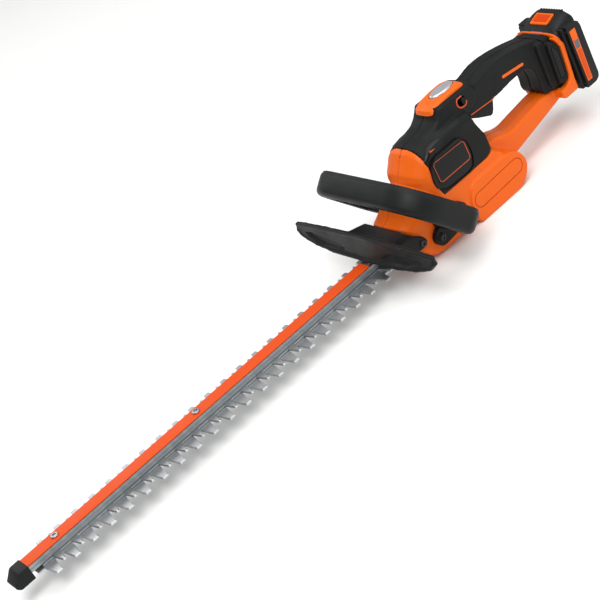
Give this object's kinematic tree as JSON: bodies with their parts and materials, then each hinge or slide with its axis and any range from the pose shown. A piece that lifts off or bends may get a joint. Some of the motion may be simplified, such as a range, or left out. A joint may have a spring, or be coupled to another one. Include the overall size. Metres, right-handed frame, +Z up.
{
  "type": "hedge trimmer",
  "caption": "Cordless hedge trimmer with a long double-sided reciprocating blade, hand guard, looped front handle, closed rear grip and slide-on battery.",
  "frame": {"origin": "under the middle of the machine's box, on the plane of the lowest point of the motor pod", "axes": "+X along the blade towards its tip, +Y to the user's left, +Z up"},
  "size_m": [0.845, 0.238, 0.1405],
  "materials": {
    "orange_plastic": "satin moulded",
    "black_plastic": "fine grain",
    "soft_black": "matte",
    "cover_black": "semi gloss",
    "tooth_steel": "ground",
    "plate_steel": "rolled",
    "bar_aluminium": "extruded",
    "case_alloy": "die cast",
    "screw_steel": "zinc plated",
    "dark_screw": "black oxide",
    "gear_steel": "sintered",
    "bush_bronze": "sintered",
    "magnet": "ferrite",
    "winding": "wound core",
    "board_green": "solder mask",
    "part_white": "moulded",
    "key_silver": "metallic paint",
    "cell_sleeve": "sleeved"
  },
  "bodies": {
    "tool": {"comb_blade": "tooth_steel", "support_bar": "bar_aluminium", "bar_strip": "orange_plastic", "bar_end_cap": "black_plastic", "bar_screws": "screw_steel", "bar_nuts": "screw_steel", "guide_bushes": "bush_bronze", "blade_root_screws": "screw_steel", "blade_clamp_plate": "plate_steel", "gear_shaft": "screw_steel", "gear_clip": "screw_steel", "gear_case": "case_alloy", "motor_can": "plate_steel", "motor_magnets": "magnet", "motor_end_bell": "black_plastic", "motor_bearings": "screw_steel", "lower_housing_left": "orange_plastic", "lower_housing_right": "orange_plastic", "upper_housing_left": "soft_black", "upper_housing_right": "soft_black", "side_cover_left": "cover_black", "side_cover_right": "cover_black", "pod_badge_left": "orange_plastic", "pod_badge_right": "orange_plastic", "grip_inlay_left": "orange_plastic", "grip_inlay_right": "orange_plastic", "housing_screws": "dark_screw", "guard": "black_plastic", "guard_screws": "dark_screw", "bail_handle": "black_plastic", "bail_screws": "dark_screw", "top_panel": "orange_plastic", "key_switch": "part_white", "control_board": "board_green", "trigger_pin": "screw_steel", "main_switch": "part_white", "terminal_block": "part_white"},
    "cutter": {"cutter_blade": "tooth_steel"},
    "crank": {"crank_gear": "gear_steel"},
    "motor_rotor": {"rotor": "winding", "pinion": "gear_steel", "motor_fan": "black_plastic"},
    "trigger": {"trigger": "black_plastic"},
    "lock_off": {"lock_slider": "black_plastic"},
    "power_key": {"power_key": "key_silver"},
    "battery": {"battery_base": "black_plastic", "battery_tower": "black_plastic", "battery_cells": "cell_sleeve", "pack_labels": "orange_plastic", "pack_screws": "dark_screw"},
    "release": {"release_button": "orange_plastic"}
  },
  "joints": [
    {"name": "cutter_stroke", "type": "slide", "parent": "tool", "child": "cutter", "axis": [1, 0, 0], "range_m": [-0.011, 0.011]},
    {"name": "crank_spin", "type": "hinge", "parent": "tool", "child": "crank", "pos_m": [-0.1535, 0, 0.04], "axis": [0, 0, 1], "continuous": true},
    {"name": "motor_spin", "type": "hinge", "parent": "tool", "child": "motor_rotor", "pos_m": [-0.1819, 0, 0.071], "axis": [0, 0, 1], "continuous": true},
    {"name": "trigger_pull", "type": "hinge", "parent": "tool", "child": "trigger", "pos_m": [-0.2655, 0, 0.105], "axis": [0, 1, 0], "range_deg": [0, 12], "stiffness_Nm_per_rad": 0.6, "springref_deg": -14.32},
    {"name": "lock_off_push", "type": "slide", "parent": "tool", "child": "lock_off", "axis": [1, 0, 0], "range_m": [0, 0.004], "stiffness_N_per_m": 600, "springref_m": -0.003},
    {"name": "power_key_press", "type": "slide", "parent": "tool", "child": "power_key", "axis": [0, 0, -1], "range_m": [0, 0.0015], "stiffness_N_per_m": 1200, "springref_m": -0.0015},
    {"name": "battery_slide", "type": "slide", "parent": "tool", "child": "battery", "axis": [0, 0, 1], "range_m": [0, 0.07]},
    {"name": "release_press", "type": "slide", "parent": "battery", "child": "release", "axis": [0, 0, -1], "range_m": [0, 0.0015], "stiffness_N_per_m": 1500, "springref_m": -0.0015}
  ],
  "couplings": [
    {"joint": "motor_spin", "follows": "crank_spin", "ratio": -5.4545}
  ]
}
